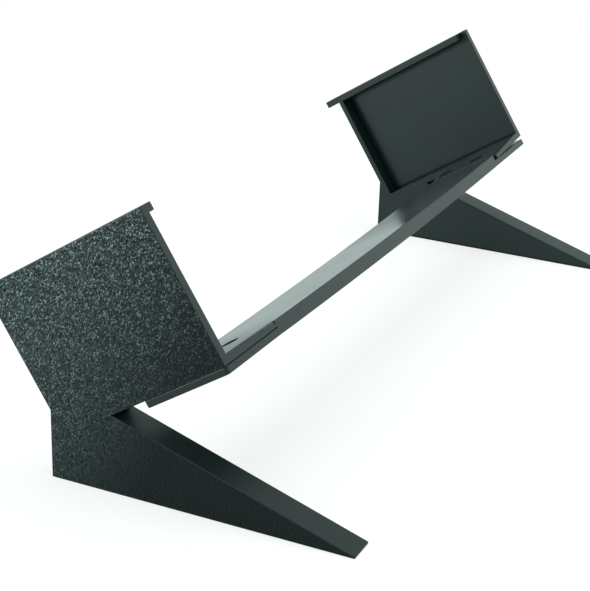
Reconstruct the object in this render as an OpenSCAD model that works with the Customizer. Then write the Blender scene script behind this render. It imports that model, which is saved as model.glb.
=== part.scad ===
// Desktop stand that holds an audio interface tilted up towards the user.
// Two mirrored end supports carry the device at its ends, and a crossbar joins them.
// X runs across the stand, -Y is the front and Z is up.
// The origin is on the desk, at the bottom centre of the whole stand.

/* [Device bay] */
// Clear width between the two side panels
bay_w = 287.2; // [160:0.1:400]
// Clear height from the tabs up to the top walls
bay_h = 50; // [25:0.1:80]
// Tilt of the device, with its front edge up
tilt = 32.8; // [20:0.1:40]

/* [Supports] */
// Thickness of each side panel
panel_t = 3.4; // [2:0.1:6]
// How far the foot, the top wall and the back wall reach in from the outer face
support_t = 10.8; // [7:0.1:16]
// Depth of the side panel along the tilt
side_depth = 71.2; // [62:0.1:90]
// Thickness of the top wall
top_wall_t = 3; // [1.5:0.1:5]
// How far the top wall runs on behind the back wall
top_wall_overhang = 6.3; // [1:0.1:12]
// How far the top wall stops short of the side panel's front edge
top_wall_setback = 3.2; // [0.5:0.1:10]
// Thickness of the back wall
back_wall_t = 2.3; // [1.5:0.1:5]

/* [Feet] */
// Height of the upright heel at the back of each foot
heel_h = 24.8; // [18:0.1:60]
// How far the heel's top corner lies above the side panel's lower edge, along the back wall
heel_rise = 9.8; // [2:0.1:20]
// Length of each foot on the desk, from heel to tip
foot_len = 111; // [95:0.5:160]
// Height of each foot at its tip
tip_h = 0.8; // [0.4:0.1:5]
// Distance along the tilt from the back wall to where the foot leaves the side panel
foot_root = 22; // [12:0.5:28]

/* [Crossbar] */
// Depth of the crossbar and of the tabs that it laps, along the tilt
bar_depth = 35; // [24:0.5:42]
// Thickness of the tabs
tab_t = 2.6; // [2.2:0.1:5]
// Thickness of the crossbar's lower layer, which runs under the tabs
lap_t = 2.6; // [2.2:0.1:5]
// Reach of each tab, from the support's outer face to the tab's end
tab_reach = 35.8; // [32:0.1:60]
// Gap between the left tab's end and the crossbar's shoulder
left_gap = 0.1; // [0.1:0.1:6]
// Gap between the right tab's end and the crossbar's shoulder
right_gap = 3.4; // [0.1:0.1:6]
// How far the crossbar sags in the middle
bar_sag = 1; // [0:0.1:3]
// Radius of the upright corners at the ends of the crossbar's lower layer
corner_r = 1.5; // [0.5:0.1:5]

/* [Screws and nuts] */
// Thread diameter of the screws
screw_d = 3; // [2:0.1:4]
// Diameter of the countersunk heads
head_d = 6; // [5:0.1:6.6]
// Height of the straight rim around each head
head_rim = 0.2; // [0.1:0.1:0.5]
// How far the heads lie below the tab's upper face
head_sink = 0.4; // [0:0.1:0.5]
// Clearance between a head's cone and its countersink, across the hole's radius
head_gap = 0.1; // [0.05:0.05:0.3]
// Clearance around a head's rim in the mouth of its countersink
mouth_gap = 0.3; // [0.3:0.05:0.5]
// Clearance around a screw's shank in the tab and the crossbar
shank_gap = 0.2; // [0.1:0.05:0.5]
// Width across the flats of the hexagon socket in each head
socket_w = 2; // [1.5:0.1:2.5]
// Depth of the hexagon socket
socket_depth = 1.1; // [0.6:0.1:1.6]
// Distance from a support's outer face to its screws
screw_inset = 27; // [20:0.1:31]
// Distance from the crossbar's back edge to the rear screws
rear_screw_in = 4.8; // [4.5:0.1:10]
// Distance from the crossbar's front edge to the front screws
front_screw_in = 13.4; // [4.5:0.1:16]
// Width across the flats of the nuts, which sit in pockets in the crossbar's underside
nut_w = 5.5; // [5:0.1:7]
// Thickness of the nuts and depth of their pockets
nut_t = 1.8; // [1.2:0.1:2]
// Clearance between each flat of a nut and its pocket
nut_gap = 0.1; // [0.05:0.05:0.3]
// Clearance between the screw's thread and the nut's bore, across the radius
thread_gap = 0.05; // [0.02:0.01:0.1]
// How far each screw's tip stands out below the crossbar
screw_end = 0.2; // [0:0.1:1]

/* [Hidden] */
// Segments of each round surface
$fn = 48;
// Segments along the crossbar's sagging stretch
sag_steps = 60;
// Extra length of a cutting body past the face that it opens
cut = 1;

half_w = bay_w / 2 + panel_t;
// Distances down from the top wall's upper face, square to the tilt
tab_top = top_wall_t + bay_h;
panel_low = tab_top + tab_t;
bar_low = panel_low + lap_t;
// Distances forward from the back wall's rear face, along the tilt
bar_back = side_depth - bar_depth;
rear_screw_s = bar_back + rear_screw_in;
front_screw_s = side_depth - front_screw_in;

// The back wall runs from the top corner down to the heel's upper corner
back_len = panel_low - heel_rise;
heel_y = (foot_len - back_len * sin(tilt) - top_wall_overhang * cos(tilt)) / 2;
top_y = heel_y + back_len * sin(tilt);
top_z = heel_h + back_len * cos(tilt);

// The crossbar's shoulders, which face the tabs' ends
left_shoulder = -half_w + tab_reach + left_gap;
right_shoulder = half_w - tab_reach - right_gap;
bar_mid = (left_shoulder + right_shoulder) / 2;
bar_half = (right_shoulder - left_shoulder) / 2;

hole_d = screw_d + 2 * shank_gap;
screw_len = tab_t + lap_t + screw_end - head_sink;
// Size of the chamfer at each screw's tip and inside each nut's bore
tip_chamfer = screw_d / 10;
// A nut's corners are cut back by a cone of this angle
nut_cone = 30;

print_color = [0.13, 0.16, 0.155];
steel_color = [0.09, 0.09, 0.095];

// Turns a distance s forward and n down in the tilted frame into a [y, z] point
function at(s, n) = [
    top_y - s * cos(tilt) - n * sin(tilt),
    top_z + s * sin(tilt) - n * cos(tilt)
];

// How far the crossbar hangs below its straight line at a place across the stand
function sag_at(x) =
    let (part = abs(x - bar_mid) / bar_half)
    part < 1 ? bar_sag * (1 - pow(part, 2)) : 0;

// Sets children drawn as [x, -s, -n] into the tilted frame
module tilted() {
    translate([0, top_y, top_z])
        rotate([-tilt, 0, 0])
            children();
}

// A box in the tilted frame, between two values of x, of s and of n
module tilted_box(x, s, n) {
    tilted()
        translate([x[0], -s[1], -n[1]])
            cube([x[1] - x[0], s[1] - s[0], n[1] - n[0]]);
}

// Plan of a plate that lies between two values of x and of s, with rounded corners
module rounded_plan(x, s, r) {
    translate([x[0] + r, -s[1]])
        square([x[1] - x[0] - 2 * r, s[1] - s[0]]);
    translate([x[0], -s[1] + r])
        square([x[1] - x[0], s[1] - s[0] - 2 * r]);
    for (cx = [x[0] + r, x[1] - r], cy = [-s[0] - r, -s[1] + r])
        translate([cx, cy])
            circle(r);
}

// Side view of a support, with its corners as [y, z] points from the top one round
module support_outline() {
    polygon([
        at(0, 0),
        at(side_depth, 0),
        at(side_depth, panel_low),
        at(foot_root, panel_low),
        [heel_y - foot_len, tip_h],
        [heel_y - foot_len, 0],
        [heel_y, 0],
        [heel_y, heel_h]
    ]);
}

// Drawn with its axis on Z and its upper mouth at z = 0, to be cut out of a tab
module countersunk_hole() {
    mouth_r = head_d / 2 + mouth_gap;
    cone_top = mouth_gap - head_gap - head_rim - head_sink;
    cone_h = mouth_r - hole_d / 2;
    rotate_extrude()
        polygon([
            [0, -tab_t - cut],
            [hole_d / 2, -tab_t - cut],
            [hole_d / 2, cone_top - cone_h],
            [mouth_r, cone_top],
            [mouth_r, cut],
            [0, cut]
        ]);
}

// A hexagonal prism on Z with two of its flats towards the plate's front and back edges
module hexagon_prism(flats, h) {
    cylinder(h = h, d = flats / cos(30), $fn = 6);
}

// Puts children at a screw's place on the tab's upper face, with side -1 at the left
module at_screw(side, s) {
    tilted()
        translate([side * (half_w - screw_inset), -s, -tab_top])
            children();
}

// One end support, at the left: side panel, top wall, back wall, foot and tab in one print
module support() {
    inner_x = -half_w + support_t;
    tab_end = -half_w + tab_reach;
    difference() {
        union() {
            translate([-half_w, 0, 0])
                rotate([90, 0, 90])
                    linear_extrude(support_t)
                        support_outline();
            tilted_box([-half_w, inner_x], [-top_wall_overhang, side_depth / 2], [0, top_wall_t]);
            tilted_box([-half_w, tab_end], [bar_back, side_depth], [tab_top, panel_low]);
        }
        tilted_box([-half_w + panel_t, inner_x + cut], [back_wall_t, side_depth + cut],
            [top_wall_t, tab_top]);
        tilted_box([-half_w + panel_t, inner_x + cut],
            [side_depth - top_wall_setback, side_depth + cut], [-cut, tab_top]);
        for (s = [rear_screw_s, front_screw_s])
            at_screw(-1, s)
                countersunk_hole();
    }
}

// Front view of the crossbar, stepped down where it runs under the tabs
module bar_profile() {
    span = [for (i = [0 : sag_steps]) left_shoulder + 2 * bar_half * i / sag_steps];
    polygon(concat(
        [[-half_w, -panel_low], [left_shoulder, -panel_low]],
        [for (x = span) [x, -tab_top - sag_at(x)]],
        [[right_shoulder, -panel_low], [half_w, -panel_low], [half_w, -bar_low]],
        [for (i = [sag_steps : -1 : 0]) [span[i], -bar_low - sag_at(span[i])]],
        [[-half_w, -bar_low]]
    ));
}

module screw() {
    cone_h = (head_d - screw_d) / 2;
    difference() {
        rotate_extrude()
            polygon([
                [0, -head_sink],
                [head_d / 2, -head_sink],
                [head_d / 2, -head_sink - head_rim],
                [screw_d / 2, -head_sink - head_rim - cone_h],
                [screw_d / 2, -head_sink - screw_len + tip_chamfer],
                [screw_d / 2 - tip_chamfer, -head_sink - screw_len],
                [0, -head_sink - screw_len]
            ]);
        translate([0, 0, -head_sink - socket_depth])
            hexagon_prism(socket_w, socket_depth + cut);
    }
}

module nut() {
    bore_r = screw_d / 2 + thread_gap;
    corner_rad = nut_w / 2 / cos(30);
    flat_r = nut_w / 2;
    cone_h = (corner_rad - flat_r) * tan(nut_cone);
    translate([0, 0, -tab_t - lap_t])
        difference() {
            intersection() {
                hexagon_prism(nut_w, nut_t);
                rotate_extrude()
                    polygon([
                        [0, 0],
                        [flat_r, 0],
                        [corner_rad + cut, cone_h + cut * tan(nut_cone)],
                        [corner_rad + cut, nut_t],
                        [0, nut_t]
                    ]);
            }
            translate([0, 0, -cut])
                cylinder(h = nut_t + 2 * cut, r = bore_r);
            translate([0, 0, -cut])
                cylinder(h = cut + tip_chamfer, r1 = bore_r + tip_chamfer + cut, r2 = bore_r);
        }
}

module left_support() {
    color(print_color)
        support();
}

module right_support() {
    color(print_color)
        mirror([1, 0, 0])
            support();
}

module crossbar() {
    color(print_color)
        tilted()
            difference() {
                intersection() {
                    translate([0, -bar_back, 0])
                        rotate([90, 0, 0])
                            linear_extrude(bar_depth)
                                bar_profile();
                    translate([0, 0, -bar_low - bar_sag - cut])
                        linear_extrude(bar_low - tab_top + bar_sag + 2 * cut)
                            rounded_plan([-half_w, half_w], [bar_back, side_depth], corner_r);
                }
                for (side = [-1, 1], s = [rear_screw_s, front_screw_s])
                    translate([side * (half_w - screw_inset), -s, -bar_low - cut]) {
                        cylinder(h = lap_t + 2 * cut, d = hole_d);
                        hexagon_prism(nut_w + 2 * nut_gap, nut_t + cut);
                    }
            }
}

module left_rear_screw() {
    color(steel_color)
        at_screw(-1, rear_screw_s)
            screw();
}

module left_front_screw() {
    color(steel_color)
        at_screw(-1, front_screw_s)
            screw();
}

module right_rear_screw() {
    color(steel_color)
        at_screw(1, rear_screw_s)
            screw();
}

module right_front_screw() {
    color(steel_color)
        at_screw(1, front_screw_s)
            screw();
}

module left_rear_nut() {
    color(steel_color)
        at_screw(-1, rear_screw_s)
            nut();
}

module left_front_nut() {
    color(steel_color)
        at_screw(-1, front_screw_s)
            nut();
}

module right_rear_nut() {
    color(steel_color)
        at_screw(1, rear_screw_s)
            nut();
}

module right_front_nut() {
    color(steel_color)
        at_screw(1, front_screw_s)
            nut();
}

left_support();
right_support();
crossbar();
left_rear_screw();
left_front_screw();
right_rear_screw();
right_front_screw();
left_rear_nut();
left_front_nut();
right_rear_nut();
right_front_nut();
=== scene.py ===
"""Looks for a desktop stand that holds an audio interface tilted up towards the user.

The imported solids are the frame. The two supports and the crossbar are dressed copies of their
solids, with softened edges and the pebbled faces that lay on the print bed. The screws and nuts
are built again with threads and sockets. Lengths are in millimetres until they go to Blender.
"""

import math

import bmesh
import bpy
import numpy as np
from mathutils import Matrix, Vector
from mathutils.geometry import delaunay_2d_cdt


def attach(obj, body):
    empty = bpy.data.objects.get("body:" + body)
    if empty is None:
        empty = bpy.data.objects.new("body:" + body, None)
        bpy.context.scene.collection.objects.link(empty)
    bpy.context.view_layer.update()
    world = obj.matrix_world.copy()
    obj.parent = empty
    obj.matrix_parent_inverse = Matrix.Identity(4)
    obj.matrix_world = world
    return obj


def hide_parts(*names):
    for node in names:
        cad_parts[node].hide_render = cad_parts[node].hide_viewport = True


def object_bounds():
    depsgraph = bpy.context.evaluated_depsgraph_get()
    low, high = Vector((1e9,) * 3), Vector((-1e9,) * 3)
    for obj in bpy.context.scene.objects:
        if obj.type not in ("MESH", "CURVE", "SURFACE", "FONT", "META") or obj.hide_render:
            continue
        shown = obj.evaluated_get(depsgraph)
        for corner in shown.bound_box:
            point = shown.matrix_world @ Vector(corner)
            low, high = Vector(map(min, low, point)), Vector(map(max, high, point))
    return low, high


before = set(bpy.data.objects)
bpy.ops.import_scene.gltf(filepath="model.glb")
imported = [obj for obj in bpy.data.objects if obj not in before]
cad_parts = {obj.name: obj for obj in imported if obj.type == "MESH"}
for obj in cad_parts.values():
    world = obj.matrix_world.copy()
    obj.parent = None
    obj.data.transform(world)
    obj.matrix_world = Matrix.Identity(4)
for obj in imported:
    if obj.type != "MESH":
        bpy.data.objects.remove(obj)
cad_low, cad_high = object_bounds()

MM = 0.001
SIDES = {"left": -1, "right": 1}

# Sizes that the looks share with the solids
TILT = math.radians(32.8)
SIDE_DEPTH = 71.2
OVERHANG = 6.3
BAR_DEPTH = 35.0
BAR_SAG = 1.0
PANEL_T = 3.4
BACK_WALL_T = 2.3
TAB_REACH = 35.8
TAB_TOP = 53.0
TAB_T = 2.6
LAP_T = 2.6
SCREW_INSET = 27.0
REAR_SCREW_IN = 4.8
FRONT_SCREW_IN = 13.4

# The tilted frame, found from the frame's own box: s runs forward and n down from the top corner
half_w = cad_high.x / MM
top_y = cad_high.y / MM - OVERHANG * math.cos(TILT)
top_z = cad_high.z / MM - SIDE_DEPTH * math.sin(TILT)

# Places in the tilted frame
inner_x = half_w - PANEL_T
tab_back = SIDE_DEPTH - BAR_DEPTH
tab_low = TAB_TOP + TAB_T
lap_low = tab_low + LAP_T
screw_x = half_w - SCREW_INSET
SCREW_ROWS = {"rear": tab_back + REAR_SCREW_IN, "front": SIDE_DEPTH - FRONT_SCREW_IN}

# Directions in the row frame
TO_LEFT = (-1, 0, 0)
TO_RIGHT = (1, 0, 0)
SQUARE_TO_TILT = (0, math.sin(TILT), math.cos(TILT))


def tilted(x, s, n):
    """The row frame's point, in metres, at x across, s forward and n down in the tilted frame."""
    y = top_y - s * math.cos(TILT) - n * math.sin(TILT)
    z = top_z + s * math.sin(TILT) - n * math.cos(TILT)
    return Vector((x, y, z)) * MM


def untilted(place):
    """The x, s and n, in millimetres, of a point of the row frame."""
    back = top_y - place.y / MM
    up = place.z / MM - top_z
    s = back * math.cos(TILT) + up * math.sin(TILT)
    return place.x / MM, s, back * math.sin(TILT) - up * math.cos(TILT)


# The direction in which n grows, square to the tilt
n_way = (tilted(0, 0, 1) - tilted(0, 0, 0)).normalized()


# Camera

CAMERA_PLACE = (-531.41, -225.36, 255.11)
CAMERA_AZIMUTH = math.radians(-65.159)
CAMERA_ELEVATION = math.radians(22.069)
CAMERA_ROLL = math.radians(1.784)
LENS = 94.61
SENSOR = 36.0
CLIP_START = 10.0
CLIP_END = 50000.0


def make_camera():
    """The photograph's camera, at the place and angle that fit the stand's corners."""
    data = bpy.data.cameras.new("camera")
    data.sensor_fit = "AUTO"
    data.sensor_width = SENSOR
    data.lens = LENS
    data.clip_start = CLIP_START * MM
    data.clip_end = CLIP_END * MM
    camera = bpy.data.objects.new("camera", data)
    bpy.context.scene.collection.objects.link(camera)
    forward = Vector((
        -math.sin(CAMERA_AZIMUTH) * math.cos(CAMERA_ELEVATION),
        math.cos(CAMERA_AZIMUTH) * math.cos(CAMERA_ELEVATION),
        -math.sin(CAMERA_ELEVATION),
    ))
    level = forward.cross(Vector((0, 0, 1))).normalized()
    upright = level.cross(forward)
    right = level * math.cos(CAMERA_ROLL) + upright * math.sin(CAMERA_ROLL)
    up = right.cross(forward)
    turn = Matrix((right, up, -forward)).transposed().to_4x4()
    camera.matrix_world = Matrix.Translation(Vector(CAMERA_PLACE) * MM) @ turn
    bpy.context.scene.camera = camera


# Node trees

class Tree:
    """A node tree with short calls that add nodes and link them."""

    def __init__(self, owner):
        owner.use_nodes = True
        self.nodes = owner.node_tree.nodes
        self.links = owner.node_tree.links
        self.nodes.clear()

    def add(self, kind, inputs=None, **settings):
        """A new node. inputs maps a socket's name or number to a value or to another socket."""
        node = self.nodes.new("ShaderNode" + kind)
        for name, value in settings.items():
            setattr(node, name, value)
        for name, value in (inputs or {}).items():
            socket = node.inputs[name]
            if isinstance(value, bpy.types.NodeSocket):
                self.links.new(value, socket)
            else:
                socket.default_value = value
        return node

    def math(self, operation, *values, clamp=False):
        """The result socket of a Math node on numbers or sockets."""
        inputs = dict(enumerate(values))
        return self.add("Math", inputs, operation=operation, use_clamp=clamp).outputs[0]

    def multiplied(self, vector, factors):
        """A vector with each of its parts times its own factor."""
        inputs = {0: vector, 1: factors}
        return self.add("VectorMath", inputs, operation="MULTIPLY").outputs[0]

    def place(self):
        """Object coordinates in millimetres."""
        return self.multiplied(self.add("TexCoord").outputs["Object"], (1 / MM,) * 3)

    def along(self, place, direction):
        """Distance in millimetres along a direction of the row frame."""
        inputs = {0: place, 1: direction}
        return self.add("VectorMath", inputs, operation="DOT_PRODUCT").outputs["Value"]

    def between(self, share, low, high):
        """A value that runs evenly from low at a share of 0 to high at a share of 1."""
        return self.math("MULTIPLY_ADD", share, high - low, low)

    def ramp(self, value, start, end):
        """0 up to the start, and from there evenly up to 1 at the end and beyond it."""
        inputs = {"Value": value, "From Min": start, "From Max": end}
        return self.add("MapRange", inputs).outputs[0]

    def noise(self, place, pattern):
        """Noise from 0 to 1, by a pattern of cells per millimetre, detail and roughness."""
        scale, detail, roughness = pattern
        inputs = {"Vector": place, "Scale": scale, "Detail": detail, "Roughness": roughness}
        return self.add("TexNoise", inputs).outputs[0]

    def bump(self, height, distance, normal=None):
        """A Bump node's normal, with its distance in millimetres."""
        inputs = {"Height": height, "Distance": distance * MM, "Strength": 1.0}
        if normal is not None:
            inputs["Normal"] = normal
        return self.add("Bump", inputs).outputs[0]

    def mix_colour(self, share, first, second):
        """The first colour at a share of 0 and the second at a share of 1."""
        return self.add("Mix", {0: share, 6: first, 7: second}, data_type="RGBA").outputs[2]

    def mix_shader(self, share, first, second):
        """The first shader at a share of 0 and the second at a share of 1."""
        return self.add("MixShader", {0: share, 1: first, 2: second}).outputs[0]

    def seen_rays(self, mirrored=1.0):
        """1 for rays from the camera or through a view, and the mirrored share for reflections."""
        path = self.add("LightPath").outputs
        seen = self.math("MAXIMUM", path["Is Camera Ray"], path["Is Transmission Ray"])
        return self.math("MAXIMUM", seen, self.math("MULTIPLY", path["Is Glossy Ray"], mirrored))


# Light and floor

SKY_LEVEL = 0.5
SKY = (0.84, 1.0, 0.975, 1)
WHITE = (1.0, 1.0, 1.0, 1)
FLOOR_RADIUS = 3000.0
FLOOR_SIDES = 96
FLOOR_SINK = 0.05
FLOOR_PAPER = (0.8, 0.8, 0.8, 1)
SHADED_PAPER = (0.4, 0.4, 0.4, 1)
FLOOR_GLOW = 0.74
MIRRORED_FLOOR = 0.85
SHADOW_REACH = (350.0, 900.0)

# Each lamp's place and size, and its power in watts
LAMPS = {
    "key": ((-820, 560, 80), 260, 5.0),
    "fill": ((300, -900, 700), 900, 3.0),
    "top": ((0, 100, 1300), 900, 5.0),
    "front": ((1500, -880, 400), 900, 1.0),
}
LAMP_TARGET = (0, 0, 40)


def make_world():
    """Even white surroundings, which light the object at a lower level than they show."""
    world = bpy.data.worlds.new("studio")
    bpy.context.scene.world = world
    tree = Tree(world)
    sky = tree.add("Background", {"Color": SKY, "Strength": SKY_LEVEL}).outputs[0]
    mirrored = tree.add("Background", {"Color": SKY, "Strength": 1.0}).outputs[0]
    white = tree.add("Background", {"Color": WHITE, "Strength": 1.0}).outputs[0]
    to_camera = tree.add("LightPath").outputs["Is Camera Ray"]
    shown = tree.mix_shader(tree.seen_rays(), sky, mirrored)
    tree.add("OutputWorld", {"Surface": tree.mix_shader(to_camera, shown, white)})


def floor_look():
    """Paper that throws plain light on the object, and shows brighter than it throws.

    What shows is part paper, which keeps the shadow, and part glow, and plain white far out.
    """
    material = bpy.data.materials.new("floor")
    tree = Tree(material)
    to_camera = tree.add("LightPath").outputs["Is Camera Ray"]
    tint = tree.mix_colour(to_camera, SKY, WHITE)
    shaded = tree.add("BsdfDiffuse", {"Color": SHADED_PAPER}).outputs[0]
    glow = tree.add("Emission", {"Color": tint, "Strength": FLOOR_GLOW}).outputs[0]
    near = tree.add("AddShader", {0: shaded, 1: glow}).outputs[0]
    white = tree.add("Emission", {"Color": tint, "Strength": 1.0}).outputs[0]
    distance = tree.add("VectorMath", {0: tree.place()}, operation="LENGTH").outputs["Value"]
    reach = {"Value": distance, "From Min": SHADOW_REACH[0], "From Max": SHADOW_REACH[1]}
    far = tree.add("MapRange", reach, interpolation_type="SMOOTHSTEP").outputs[0]
    shown = tree.mix_shader(far, near, white)
    paper = tree.add("BsdfDiffuse", {"Color": FLOOR_PAPER}).outputs[0]
    seen = tree.seen_rays(MIRRORED_FLOOR)
    tree.add("OutputMaterial", {"Surface": tree.mix_shader(seen, paper, shown)})
    return material


def make_floor():
    """A round floor just under the feet."""
    mesh = bpy.data.meshes.new("floor")
    shape = bmesh.new()
    bmesh.ops.create_circle(shape, cap_ends=True, radius=FLOOR_RADIUS * MM, segments=FLOOR_SIDES)
    shape.to_mesh(mesh)
    shape.free()
    mesh.materials.append(floor_look())
    floor = bpy.data.objects.new("floor", mesh)
    floor.location.z = -FLOOR_SINK * MM
    bpy.context.scene.collection.objects.link(floor)


def make_lamp(name, place, size, power):
    """A square soft box that is turned towards the stand."""
    data = bpy.data.lights.new(name, "AREA")
    data.shape = "SQUARE"
    data.size = size * MM
    data.energy = power
    data.color = SKY[:3]
    lamp = bpy.data.objects.new(name, data)
    lamp.location = Vector(place) * MM
    lamp.rotation_mode = "QUATERNION"
    lamp.rotation_quaternion = (Vector(LAMP_TARGET) - Vector(place)).to_track_quat("-Z", "Y")
    bpy.context.scene.collection.objects.link(lamp)


# Materials

# Colours
SIDE_TONES = ((0.0050, 0.0125, 0.0125, 1), (0.0070, 0.0160, 0.0155, 1))
SMOOTH_TONES = ((0.0022, 0.0060, 0.0060, 1), (0.0035, 0.0085, 0.0083, 1))
WORN_LIT_PLASTIC = (0.011, 0.019, 0.018, 1)
PAINTED_LIGHT = (0.034, 0.050, 0.050, 1)
PAINTED_GLINT = (0.30, 0.355, 0.35, 1)
PIT_SHADE = (0.0010, 0.0035, 0.0035, 1)
STEEL = (0.020, 0.020, 0.022, 1)
WORN_STEEL = (0.16, 0.16, 0.165, 1)

# Roughness from the smoothest to the roughest patch
SATIN = (0.26, 0.36)
BED_SATIN = (0.18, 0.26)
SMOOTH = (0.16, 0.22)
STEEL_ROUGH = (0.25, 0.5)

SUPPORT_IOR = 1.37
BED_IOR = 1.25
BAR_IOR = 1.4
STEEL_METALLIC = 0.85

# Noise patterns: cells per millimetre, detail and roughness
CLOUDS = (0.07, 4.0, 0.6)
GRAIN = (2.4, 3.0, 0.5)
WEAR_AND_HIGHLIGHT_PATCHES = (0.8, 4.0, 0.7)
PEBBLE_GRAIN = (1.95, 2.0, 0.6)
PEBBLE_PATCHES = (0.30, 3.0, 0.65)
LAYER_WOBBLE = (0.05, 2.0, 0.5)
LAYER_GRAIN = (3.0, 3.0, 0.5)
BED_GRAIN = (3.0, 2.0, 0.5)
STEEL_BLOTCHES = (1.5, 5.0, 0.65)
STEEL_GRAIN = (6.0, 3.0, 0.5)

# How the plastic's tone and roughness follow its clouds and its grain
CLOUD_TONE = 0.65
GRAIN_TONE = 0.35
GRAIN_DULLS = 0.06

# Wear and a painted highlight on the softened edges
WEAR_AND_HIGHLIGHT_START = 0.2
WEAR_AND_HIGHLIGHT_STRENGTH = 1.6

# Extra roughness towards the stand's ends, which begins and ends this far from its middle
DULL_ENDS = 0.1
LEFT_DULL_SPAN = (97.0, 133.0)
RIGHT_DULL_SPAN = (0.0, 40.0)

# The specular level in the open, and how near a wall must be to lower it, as painted shade in the
# inner corners
OPEN_SPECULAR = 0.5
CORNER_REACH = 1.5
CORNER_SAMPLES = 8

# The pebbled faces: the way in which the painted light and the painted glints grow, and over which
# distances
PAINTED_LIGHT_WAY = (0, 0.7, 0.25)
PAINTED_LIGHT_SPAN = (4.3, 42.0)
GLINT_WAY = (0, 0.70, 0.71)
GLINT_SPAN = (18.0, 80.0)

# How far the pebbles' long sides lean from upright
PEBBLE_LEAN = math.radians(27)

# The painted glints show where the grain, with a pull by patches, is high, and the painted shade of
# the pits where it is low
GRAIN_STRETCH = (1.0, 1.0, 0.7)
GRAIN_PULL = 9.0
PATCH_PULL = 1.6
GLINT_LEVELS = (5.9, 6.9)
PIT_SHADE_LEVELS = (0.5, 0.375)

# Relief
LAYER_T = 0.2
LAYER_RELIEF = 0.006
LAYER_WANDER = 1.2
LAYER_GRAIN_RELIEF = 0.010
BED_RELIEF = 0.02
STEEL_RELIEF = 0.01

# Bare steel shows where the blotches lie between these levels or above them
BARE_LEVELS = (0.625, 0.875)


def edge_wear_and_highlight(tree, place):
    """How much wear and painted highlight the softened edges get, in patches, and 0 away from them.
    """
    edge = tree.add("Attribute", attribute_name="edge").outputs["Fac"]
    patches = tree.math("SUBTRACT", tree.noise(place, WEAR_AND_HIGHLIGHT_PATCHES), WEAR_AND_HIGHLIGHT_START)
    return tree.math("MULTIPLY", tree.math("MULTIPLY", edge, patches), WEAR_AND_HIGHLIGHT_STRENGTH, clamp=True)


def nearness_to_ends(tree, place):
    """0 along the middle of the stand, and up to 1 towards its left and right ends."""
    to_left = tree.ramp(tree.along(place, TO_LEFT), *LEFT_DULL_SPAN)
    to_right = tree.ramp(tree.along(place, TO_RIGHT), *RIGHT_DULL_SPAN)
    return tree.math("MAXIMUM", to_left, to_right)


def corner_shade_specular(tree):
    """The specular level, which falls to 0 in the inner corners as painted shade."""
    reach = {"Distance": CORNER_REACH * MM}
    openness = tree.add("AmbientOcclusion", reach, samples=CORNER_SAMPLES).outputs["AO"]
    return tree.math("SUBTRACT", openness, 1 - OPEN_SPECULAR, clamp=True)


def painted_light_and_shade(tree, place, colour):
    """The colour with painted light that makes the rear paler, painted shade in the pits, and
    painted glints on the pebble tops that thin out downwards.
    """
    leaning = tree.add(
        "VectorRotate", {"Vector": place, "Angle": -PEBBLE_LEAN}, rotation_type="X_AXIS"
    ).outputs[0]
    grain = tree.noise(tree.multiplied(leaning, GRAIN_STRETCH), PEBBLE_GRAIN)
    crowding = tree.math("MULTIPLY", tree.noise(place, PEBBLE_PATCHES), PATCH_PULL)
    level = tree.math("MULTIPLY_ADD", grain, GRAIN_PULL, crowding)
    # The painted glints, on the pebble tops
    top = tree.ramp(level, *GLINT_LEVELS)
    glint_rise = tree.ramp(tree.along(place, GLINT_WAY), *GLINT_SPAN)
    # Painted light, which makes the rear and top paler
    lighter = tree.ramp(tree.along(place, PAINTED_LIGHT_WAY), *PAINTED_LIGHT_SPAN)
    lit_colour = tree.mix_colour(lighter, colour, PAINTED_LIGHT)
    # Painted shade in the pebbles' pits
    pit_shaded = tree.mix_colour(tree.ramp(grain, *PIT_SHADE_LEVELS), lit_colour, PIT_SHADE)
    return tree.mix_colour(tree.math("MULTIPLY", top, glint_rise), pit_shaded, PAINTED_GLINT)


def plastic(name, relief, tones, rough, ior, dull_ends=0.0, from_bed=False, shades_corners=False):
    """Dark green-grey printed plastic. relief(tree, place) gives its normal."""
    material = bpy.data.materials.new(name)
    tree = Tree(material)
    place = tree.place()
    clouds = tree.noise(place, CLOUDS)
    grain = tree.noise(place, GRAIN)
    tone = tree.math("MULTIPLY_ADD", grain, GRAIN_TONE, tree.math("MULTIPLY", clouds, CLOUD_TONE))
    colour = tree.mix_colour(tone, *tones)
    # The print bed's faces get painted light and shade: a paler rear, painted glints and painted
    # shade in the pits
    if from_bed:
        colour = painted_light_and_shade(tree, place, colour)
    gloss = tree.math("MULTIPLY_ADD", grain, GRAIN_DULLS, tree.between(clouds, *rough))
    inputs = {
        # The softened edges are lightened in patches, partly by wear and partly by a painted
        # highlight
        "Base Color": tree.mix_colour(edge_wear_and_highlight(tree, place), colour, WORN_LIT_PLASTIC),
        "Roughness": tree.math("MULTIPLY_ADD", nearness_to_ends(tree, place), dull_ends, gloss),
        "IOR": ior,
        "Normal": relief(tree, place),
    }
    # Painted shade: the specular level falls in the inner corners
    if shades_corners:
        inputs["Specular IOR Level"] = corner_shade_specular(tree)
    shader = tree.add("BsdfPrincipled", inputs).outputs[0]
    tree.add("OutputMaterial", {"Surface": shader})
    return material


def layered_relief(direction):
    """Relief of a print whose layers are stacked along a direction."""
    def relief(tree, place):
        wander = tree.math("MULTIPLY", tree.noise(place, LAYER_WOBBLE), LAYER_WANDER)
        pace = 2 * math.pi / LAYER_T
        phase = tree.math("MULTIPLY_ADD", tree.along(place, direction), pace, wander)
        ridges = tree.math("MULTIPLY_ADD", tree.math("SINE", phase), 0.5, 0.5)
        uneven = tree.bump(tree.noise(place, LAYER_GRAIN), LAYER_GRAIN_RELIEF)
        return tree.bump(ridges, LAYER_RELIEF, uneven)
    return relief


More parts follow.
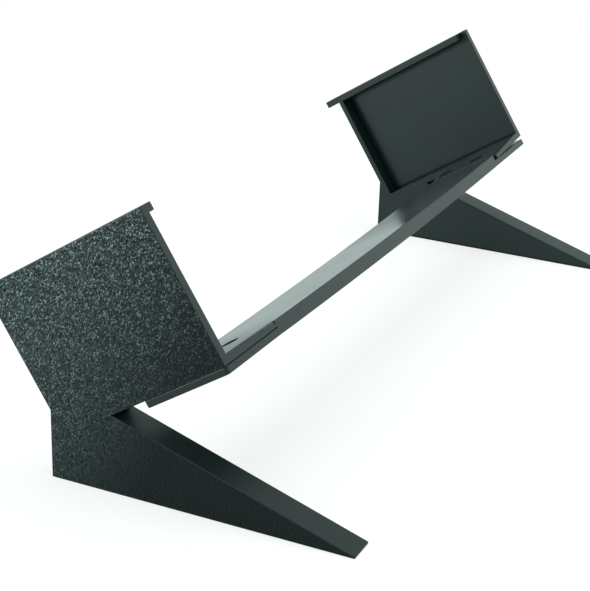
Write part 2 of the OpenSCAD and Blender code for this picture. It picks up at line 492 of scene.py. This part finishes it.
def bed_relief(tree, place):
    """Fine grain of a face that lay on the print bed, on top of any modelled pebbles."""
    return tree.bump(tree.noise(place, BED_GRAIN), BED_RELIEF)


def black_steel():
    """Black oxide steel, with bare metal showing through on worn spots."""
    material = bpy.data.materials.new("black_steel")
    tree = Tree(material)
    place = tree.place()
    blotches = tree.noise(place, STEEL_BLOTCHES)
    inputs = {
        "Base Color": tree.mix_colour(tree.ramp(blotches, *BARE_LEVELS), STEEL, WORN_STEEL),
        "Metallic": STEEL_METALLIC,
        "Roughness": tree.between(blotches, *STEEL_ROUGH),
        "Normal": tree.bump(tree.noise(place, STEEL_GRAIN), STEEL_RELIEF),
    }
    shader = tree.add("BsdfPrincipled", inputs).outputs[0]
    tree.add("OutputMaterial", {"Surface": shader})
    return material


# A face's material number picks its look from the lists of support_looks and bar_looks
BED_LOOK = 1
TAB_LOOK = 2


def support_looks():
    """The supports' plastic, that of their pebbled outer faces and that of their tabs' tops."""
    sides = layered_relief(TO_RIGHT)
    tops = layered_relief(SQUARE_TO_TILT)
    return [
        plastic("support_plastic", sides, SIDE_TONES, SATIN, SUPPORT_IOR, shades_corners=True),
        plastic("bed_plastic", bed_relief, SMOOTH_TONES, BED_SATIN, BED_IOR, from_bed=True),
        plastic("tab_plastic", tops, SMOOTH_TONES, SMOOTH, BAR_IOR, DULL_ENDS, shades_corners=True),
    ]


def bar_looks():
    """The crossbar's plastic and that of its underside."""
    layers = layered_relief(SQUARE_TO_TILT)
    return [
        plastic("bar_plastic", layers, SMOOTH_TONES, SMOOTH, BAR_IOR, DULL_ENDS),
        plastic("bar_bed_plastic", bed_relief, SMOOTH_TONES, SATIN, BAR_IOR, from_bed=True),
    ]


# Settling

# How far the plastic has sunk, square to the tilt. The solids leave this out.
NEAR_TAB_LIFT = 0.6
NEAR_TAB_FALL = 0.1
FAR_TAB_FALL = 1.6
LAP_FOLLOW = 0.85
NEAR_BAR_FALL = 0.35
FAR_BAR_FALL = 1.55
END_BAR_FALL = 1.25

# The crossbar's bend, by distance from its left end
BEND_START = 44.0
BEND_LOWEST = 254.0
BEND_POWER = 1.6

# How far past its own faces the pocket's floor is looked for
FLOOR_SLACK = 0.1
WALL_SLACK = 0.01


def bar_fall(x, s, n):
    """How far the crossbar has sunk: most at its far end, where the tab bends down with it."""
    from_left = x + half_w
    if from_left < BEND_START:
        return NEAR_BAR_FALL * from_left / BEND_START
    if from_left < BEND_LOWEST:
        part = (from_left - BEND_START) / (BEND_LOWEST - BEND_START)
        return NEAR_BAR_FALL + (FAR_BAR_FALL - NEAR_BAR_FALL) * part ** BEND_POWER
    part = (from_left - BEND_LOWEST) / (2 * half_w - BEND_LOWEST)
    return FAR_BAR_FALL + (END_BAR_FALL - FAR_BAR_FALL) * part


def tab_fall(x, s, n):
    """How far a tab has bent: the left one stands up at its panel, the right one hangs down.

    The left tab's underside follows the crossbar, so that the lap stays closed.
    """
    part = (inner_x - abs(x)) / (TAB_REACH - PANEL_T)
    if x > 0:
        return FAR_TAB_FALL * part
    above = min(max((tab_low - n) / TAB_T, 0), 1)
    top_fall = NEAR_TAB_FALL * part - NEAR_TAB_LIFT * (1 - part)
    return above * top_fall + (1 - above) * NEAR_BAR_FALL * max(part, 0) * LAP_FOLLOW


def support_fall(x, s, n):
    """The tab's bend, which the pocket's floor shares, and nothing for the rest of the support."""
    in_pocket = abs(x) < inner_x + WALL_SLACK and s > BACK_WALL_T - FLOOR_SLACK
    in_floor = in_pocket and TAB_TOP - FLOOR_SLACK < n < tab_low + FLOOR_SLACK
    return tab_fall(x, s, n) if in_floor else 0.0


def settle(shape, fall):
    """Lowers each point by fall(x, s, n), square to the tilt."""
    for vert in shape.verts:
        x, s, n = untilted(vert.co)
        vert.co = tilted(x, s, n + fall(x, s, n))


# Dressing the solids

EDGE_SOFT = 0.3
LOW_EDGE_SOFT = 0.5
TAB_EDGE_SOFT = 1.3
BAR_FRONT_SOFT = 0.5
BAR_BACK_SOFT = 0.9
ROUND_STEPS = 3
SOFT_TURN = math.radians(25)
SHARP_TURN = math.radians(40)

# Faces that turn less than this become one. The sagging crossbar's facets hardly turn.
FLAT_TURN = math.radians(0.5)
BAR_FLAT_TURN = math.radians(0.02)

# Points nearer than this, in metres, are the same
SAME = 1e-6

# How near an edge lies to the s, the n, the joint or the hole's axis that it is looked for at
ROW_SLACK = 0.05
HEIGHT_SLACK = 1.2
JOINT_SLACK = 0.2
HOLE_REACH = 4.5

# An edge shorter than this doesn't count as one that runs across the stand
SHORTEST_EDGE = 1.0

# How near a face lies to the level that it is looked for at, and how squarely it faces up or down
FACE_SLACK = 1.0
ROUGHLY = 0.5
SQUARELY = 0.999


def welded(node, flat_turn):
    """A CAD node's faces as one bmesh, in which the parts of a flat face are one face."""
    shape = bmesh.new()
    shape.from_mesh(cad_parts[node].data)
    bmesh.ops.remove_doubles(shape, verts=shape.verts, dist=SAME)
    bmesh.ops.dissolve_degenerate(shape, dist=2 * SAME, edges=shape.edges)
    bmesh.ops.dissolve_limit(shape, angle_limit=flat_turn, verts=shape.verts, edges=shape.edges)
    return shape


def soften(shape, width, wanted):
    """Rounds off the sharp outward edges that wanted(edge) picks, and marks them as edges."""
    mark = shape.faces.layers.float.get("edge") or shape.faces.layers.float.new("edge")
    picked = [
        edge for edge in shape.edges
        if len(edge.link_faces) == 2
        and not any(face[mark] for face in edge.link_faces)
        and edge.is_convex
        and edge.calc_face_angle() > SOFT_TURN
        and wanted(edge)
    ]
    made = bmesh.ops.bevel(
        shape, geom=picked, offset=width * MM, offset_type="OFFSET", segments=ROUND_STEPS,
        profile=0.5, affect="EDGES", clamp_overlap=False,
    )
    for face in made["faces"]:
        face[mark] = 1.0
    bmesh.ops.remove_doubles(shape, verts=shape.verts, dist=2 * SAME)


def sharpen(shape):
    """Keeps the shading apart across sharp edges."""
    for edge in shape.edges:
        sharp = len(edge.link_faces) == 2 and edge.calc_face_angle() > SHARP_TURN
        edge.smooth = not sharp


def lies_at(edge, s, n, x_limit):
    """Whether an edge runs across the stand at an s and n, within a distance of its middle."""
    ends = [untilted(vert.co) for vert in edge.verts]
    near = all(
        abs(x) < x_limit and abs(at_s - s) < ROW_SLACK and abs(at_n - n) < HEIGHT_SLACK
        for x, at_s, at_n in ends
    )
    return near and abs(ends[0][0] - ends[1][0]) > SHORTEST_EDGE


def in_screw_hole(edge):
    """Whether an edge belongs to a screw hole, by its distance to the screw's axis."""
    middle = (edge.verts[0].co + edge.verts[1].co) / 2
    for s in SCREW_ROWS.values():
        for side in SIDES.values():
            away = middle - tilted(side * screw_x, s, TAB_TOP)
            away -= n_way * away.dot(n_way)
            if away.length < HOLE_REACH * MM:
                return True
    return False


def in_tight_joint(edge):
    """Whether an edge lies where the left tab's end meets the crossbar's step without a gap."""
    joint = TAB_REACH - half_w
    return all(abs(untilted(vert.co)[0] - joint) < JOINT_SLACK for vert in edge.verts)


def is_free(edge):
    """Whether an edge is softened, as those of holes and of the tight joint are not."""
    return not (in_screw_hole(edge) or in_tight_joint(edge))


def finish_piece(name, shape, node, looks):
    """Turns a bmesh into a piece that rides on the stand and stands for a CAD node."""
    mesh = bpy.data.meshes.new(name)
    shape.to_mesh(mesh)
    shape.free()
    for look in looks:
        mesh.materials.append(look)
    mesh.shade_smooth()
    piece = bpy.data.objects.new(name, mesh)
    bpy.context.scene.collection.objects.link(piece)
    smooth = piece.modifiers.new("even normals", "WEIGHTED_NORMAL")
    smooth.keep_sharp = True
    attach(piece, "root")
    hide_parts(node)


# Pebbles

PEBBLE_STEP = 0.26
PEBBLE_W = 0.85
PEBBLE_L = 1.2
PEBBLE_SLOPE = 0.26
PEBBLE_SEED = 11
NET_MARGIN = 0.6
CDT_SLACK = 1e-7
HASH_PRIMES = (73856093, 19349663, 83492791)
HASH_TURNS = (0x9E3779B1, 0x85EBCA6B)


def hashed(column, row, seed):
    """Two numbers from 0 to 1 for each cell of a grid, the same in every run."""
    for_column, for_row, for_seed = HASH_PRIMES
    mixed = (column * for_column) ^ (row * for_row) ^ (seed * for_seed)
    mixed = mixed.astype(np.uint32)
    values = []
    for turn in HASH_TURNS:
        mixed = (mixed ^ (mixed >> np.uint32(15))) * np.uint32(turn)
        mixed = mixed ^ (mixed >> np.uint32(13))
        values.append(mixed.astype(np.float64) / 2**32)
    return values


def nearest_cells(u, v, seed):
    """Distances, in cells, to the nearest scattered point of a grid."""
    nearest = np.full(u.shape, np.inf)
    column, row = np.floor(u).astype(np.int64), np.floor(v).astype(np.int64)
    for across in (-1, 0, 1):
        for up in (-1, 0, 1):
            c, r = column + across, row + up
            a, b = hashed(c, r, seed)
            nearest = np.minimum(nearest, np.hypot(c + a - u, r + b - v))
    return nearest


def pebble_depth(y, z, seed):
    """How deep the pebbled face lies under its outer plane, at places on it."""
    long_way = (z * math.cos(PEBBLE_LEAN) - y * math.sin(PEBBLE_LEAN)) / PEBBLE_L
    short_way = (y * math.cos(PEBBLE_LEAN) + z * math.sin(PEBBLE_LEAN)) / PEBBLE_W
    return PEBBLE_SLOPE * PEBBLE_W * nearest_cells(long_way, short_way, seed)


def inside(points, corners, margin):
    """Which points lie in a polygon and at least a margin away from its sides."""
    crossed = np.zeros(len(points), bool)
    clear = np.ones(len(points), bool)
    px, py = points[:, 0], points[:, 1]
    for (ax, ay), (bx, by) in zip(corners, np.roll(corners, -1, axis=0)):
        spans = (ay > py) != (by > py)
        if ay != by:
            crossed ^= spans & (px < (bx - ax) * (py - ay) / (by - ay) + ax)
        length2 = (bx - ax) ** 2 + (by - ay) ** 2
        part = np.clip(((px - ax) * (bx - ax) + (py - ay) * (by - ay)) / length2, 0, 1)
        clear &= np.hypot(ax + part * (bx - ax) - px, ay + part * (by - ay) - py) > margin
    return crossed & clear


def net_points(corners, step):
    """Points of a net of even triangles that fill a polygon, but for a margin along its sides."""
    low, high = corners.min(axis=0), corners.max(axis=0)
    rows = np.arange(low[1], high[1], step * math.sqrt(3) / 2)
    net = np.array([
        (y + (number % 2) * step / 2, z)
        for number, z in enumerate(rows)
        for y in np.arange(low[0], high[0], step)
    ])
    return net[inside(net, corners, NET_MARGIN * step)]


def split_evenly(edge, cuts):
    """Puts evenly spaced corners on an edge, which its faces take up without being divided."""
    start = edge.verts[0]
    for left in range(cuts, 0, -1):
        _, start = bmesh.utils.edge_split(edge, start, 1 / (left + 1))


def net_triangles(flat, rim_size):
    """Triangles, turning to the left, between flat points that begin with the rim's own points.

    A triangle lies inside if it has a point of the net, or shares an edge other than the rim's
    with one that does.
    """
    sides = [(i, (i + 1) % rim_size) for i in range(rim_size)]
    _, _, drawn, sources, _, _ = delaunay_2d_cdt(flat, sides, [], 0, CDT_SLACK, True)
    on_rim = {frozenset(side) for side in sides}

    def free_edges(triangle):
        pairs = zip(triangle, triangle[1:] + triangle[:1])
        return {frozenset(pair) for pair in pairs} - on_rim

    kept, reached, unsure = [], set(), []
    for corners in drawn:
        triangle = [sources[i][0] for i in corners]
        if max(triangle) >= rim_size:
            kept.append(triangle)
            if sum(i < rim_size for i in triangle) == 2:
                reached |= free_edges(triangle)
        else:
            unsure.append(triangle)
    grown = True
    while grown:
        found = [triangle for triangle in unsure if free_edges(triangle) & reached]
        unsure = [triangle for triangle in unsure if triangle not in found]
        kept += found
        for triangle in found:
            reached |= free_edges(triangle)
        grown = bool(found)
    return kept


def pebble_outer_face(shape, side):
    """Gives a support's flat outer face its pebbles, as a fine net sunk into the face's plane."""
    step = PEBBLE_STEP
    plane = side * half_w * MM
    (face,) = [f for f in shape.faces if all(abs(v.co.x - plane) < SAME for v in f.verts)]
    corners = np.array([(v.co.y, v.co.z) for v in face.verts]) / MM
    for edge in list(face.edges):
        split_evenly(edge, int(edge.calc_length() / (step * MM)))
    rim = list(face.verts)
    net = net_points(corners, step)
    flat = [Vector((v.co.y / MM, v.co.z / MM)) for v in rim] + [Vector(p) for p in net]
    depth = pebble_depth(net[:, 0], net[:, 1], PEBBLE_SEED + side)
    inward = plane - side * depth * MM
    verts = rim + [shape.verts.new((x, y * MM, z * MM)) for x, (y, z) in zip(inward, net)]
    shape.faces.remove(face)
    for triangle in net_triangles(flat, len(rim)):
        made = shape.faces.new([verts[i] for i in triangle[::side]])
        made.material_index = BED_LOOK


# Supports and crossbar

def make_support(node, side, looks):
    """One end support, pebbled on its outer face and as smooth on its tab as the crossbar."""
    shape = welded(node, FLAT_TURN)
    bay_side = inner_x + WALL_SLACK
    for s in (SIDE_DEPTH, tab_back):
        soften(shape, TAB_EDGE_SOFT, lambda edge: lies_at(edge, s, TAB_TOP, bay_side))
    soften(shape, LOW_EDGE_SOFT, lambda edge: lies_at(edge, SIDE_DEPTH, tab_low, math.inf))
    soften(shape, EDGE_SOFT, is_free)
    sharpen(shape)
    for face in shape.faces:
        x, s, n = untilted(face.calc_center_median())
        in_bay = abs(x) < bay_side and s > BACK_WALL_T and abs(n - TAB_TOP) < FACE_SLACK
        if in_bay and face.normal.dot(n_way) < -ROUGHLY:
            face.material_index = TAB_LOOK
    pebble_outer_face(shape, side)
    settle(shape, support_fall)
    finish_piece(node + "_print", shape, node, looks)


def make_crossbar(looks):
    """The crossbar, with softened edges and the print bed's grain underneath."""
    shape = welded("crossbar", BAR_FLAT_TURN)
    ends = half_w - TAB_REACH
    top = TAB_TOP + BAR_SAG / 2
    soften(shape, BAR_FRONT_SOFT, lambda edge: lies_at(edge, SIDE_DEPTH, top, ends))
    soften(shape, BAR_BACK_SOFT, lambda edge: lies_at(edge, tab_back, top, ends))
    soften(shape, EDGE_SOFT, is_free)
    sharpen(shape)
    for face in shape.faces:
        _, _, n = untilted(face.calc_center_median())
        if n > lap_low - FACE_SLACK and face.normal.dot(n_way) > SQUARELY:
            face.material_index = BED_LOOK
    settle(shape, bar_fall)
    finish_piece("crossbar_print", shape, "crossbar", looks)


# Screws and nuts, drawn upright with the tab's top at a height of 0

RING = 72
SCREW_R = 1.5
SCREW_LEN = 5.0
HEAD_R = 3.0
HEAD_RIM = 0.2
HEAD_SINK = 0.4
SOCKET_W = 2.0
SOCKET_DEPTH = 1.1
SOCKET_POINT_DEPTH = 0.35
SOCKET_POINT_R = 0.12
SOCKET_FLOOR_SHARE = 0.96
SOCKET_FLOOR_EDGE = 0.06
SOCKET_CHAMFER = 0.1
TIP_CHAMFER = 0.3

# The rounded edge of the head: how far each ring lies below the top and inside the head's side
HEAD_EDGE = ((0.0, 0.12), (0.04, 0.03), (0.1, 0.0))

# The thread: a flank takes up THREAD_FLANK of a turn, and THREAD_AT_TIP of the depth is left there
PITCH = 0.5
THREAD_DEPTH = 0.28
THREAD_FLANK = 0.4
THREAD_AT_TIP = 0.6
RINGS_PER_TURN = 8

NUT_W = 5.5
NUT_T = 1.8
NUT_BORE = 1.55
NUT_BORE_CHAMFER = 0.3
NUT_TOP_EDGE = 0.05
NUT_TOP_SHARE = 0.985
NUT_CHAMFER_TURN = math.radians(30)
NUT_CHAMFER_PARTS = (1, 0.75, 0.5, 0.3, 0.15, 0)

angles = np.arange(RING) * 2 * math.pi / RING


def hexagon(width):
    """Radius of a hexagon of a width across its flats, at each angle of a ring. Corners lie at x."""
    return width / 2 / np.cos(angles % (math.pi / 3) - math.pi / 6)


def circle(radius):
    """Radius of a circle at each angle of a ring."""
    return np.full(RING, float(radius))


def ring_stack(rings, joined):
    """A bmesh through rings of (height, radii). joined closes the last ring onto the first."""
    shape = bmesh.new()
    loops = []
    for height, radii in rings:
        loops.append([
            shape.verts.new((r * math.cos(a), r * math.sin(a), height))
            for r, a in zip(radii, angles)
        ])
    pairs = list(zip(loops, loops[1:])) + ([(loops[-1], loops[0])] if joined else [])
    for upper, lower in pairs:
        for i in range(RING):
            j = (i + 1) % RING
            shape.faces.new((upper[i], lower[i], lower[j], upper[j]))
    if not joined:
        shape.faces.new(loops[0])
        shape.faces.new(reversed(loops[-1]))
    bmesh.ops.recalc_face_normals(shape, faces=shape.faces)
    return shape


def thread_radii(height, start, end):
    """Radii of the screw's thread at a height, run out towards both ends."""
    turn = (height / PITCH + angles / (2 * math.pi)) % 1
    crest = np.clip((0.5 - np.abs(turn - 0.5)) / THREAD_FLANK, 0, 1)
    depth = min((start - height) / PITCH, (height - end) / PITCH + THREAD_AT_TIP, 1)
    return SCREW_R - THREAD_DEPTH * (1 - crest) * max(depth, 0)


def screw_rings():
    """The screw from the bottom of its socket, over the head and down the thread."""
    top = -HEAD_SINK
    socket_floor = top - SOCKET_DEPTH
    cone_low = top - HEAD_RIM - (HEAD_R - SCREW_R)
    tip = top - SCREW_LEN
    thread_end = tip + TIP_CHAMFER
    socket = hexagon(SOCKET_W)
    rings = [
        (socket_floor - SOCKET_POINT_DEPTH, circle(SOCKET_POINT_R)),
        (socket_floor, socket * SOCKET_FLOOR_SHARE),
        (socket_floor + SOCKET_FLOOR_EDGE, socket),
        (top - SOCKET_CHAMFER, socket),
        (top, socket + SOCKET_CHAMFER),
    ]
    rings += [(top - drop, circle(HEAD_R - inset)) for drop, inset in HEAD_EDGE]
    rings.append((top - HEAD_RIM, circle(HEAD_R)))
    rings.append((cone_low, circle(SCREW_R)))
    steps = int((cone_low - thread_end) / (PITCH / RINGS_PER_TURN))
    for i in range(1, steps + 1):
        height = cone_low + (thread_end - cone_low) * i / steps
        rings.append((height, thread_radii(height, cone_low, tip)))
    rings.append((tip, circle(SCREW_R - TIP_CHAMFER)))
    return rings


def nut_rings():
    """The nut, from its bore's top round the outside and back up the bore."""
    base = TAB_TOP - lap_low
    top = base + NUT_T
    outside = hexagon(NUT_W)
    flat = NUT_W / 2
    corner = outside.max()
    chamfer = (corner - flat) * math.tan(NUT_CHAMFER_TURN)
    rings = [
        (top, circle(NUT_BORE)),
        (top, circle(flat)),
        (top, outside * NUT_TOP_SHARE),
        (top - NUT_TOP_EDGE, outside),
    ]
    rings += [
        (base + chamfer * part, np.minimum(outside, flat + (corner - flat) * part))
        for part in NUT_CHAMFER_PARTS
    ]
    rings.append((base, circle(NUT_BORE + NUT_BORE_CHAMFER)))
    rings.append((base + NUT_BORE_CHAMFER, circle(NUT_BORE)))
    return rings


def place_fastener(shape, side, s):
    """Moves a screw or nut, drawn upright at the origin, to its hole."""
    for vert in shape.verts:
        x, y, z = vert.co
        vert.co = tilted(side * screw_x + x, s - y, TAB_TOP - z)


def make_fastener(node, rings, joined, side, s, fall, look):
    """One screw or nut in its own place, which has settled with the piece that holds it."""
    shape = ring_stack(rings, joined)
    place_fastener(shape, side, s)
    sharpen(shape)
    settle(shape, fall)
    finish_piece(node + "_steel", shape, node, [look])


def make_fasteners(look):
    """Four countersunk screws and their nuts."""
    for side_name, side in SIDES.items():
        for row_name, s in SCREW_ROWS.items():
            hole = f"{side_name}_{row_name}"
            make_fastener(hole + "_screw", screw_rings(), False, side, s, tab_fall, look)
            make_fastener(hole + "_nut", nut_rings(), True, side, s, bar_fall, look)


make_camera()
make_world()
make_floor()
for lamp_name, (lamp_place, lamp_size, lamp_power) in LAMPS.items():
    make_lamp(lamp_name, lamp_place, lamp_size, lamp_power)

shared_looks = support_looks()
for support_name, support_side in SIDES.items():
    make_support(support_name + "_support", support_side, shared_looks)
make_crossbar(bar_looks())
make_fasteners(black_steel())

bpy.context.scene.view_settings.view_transform = "Standard"
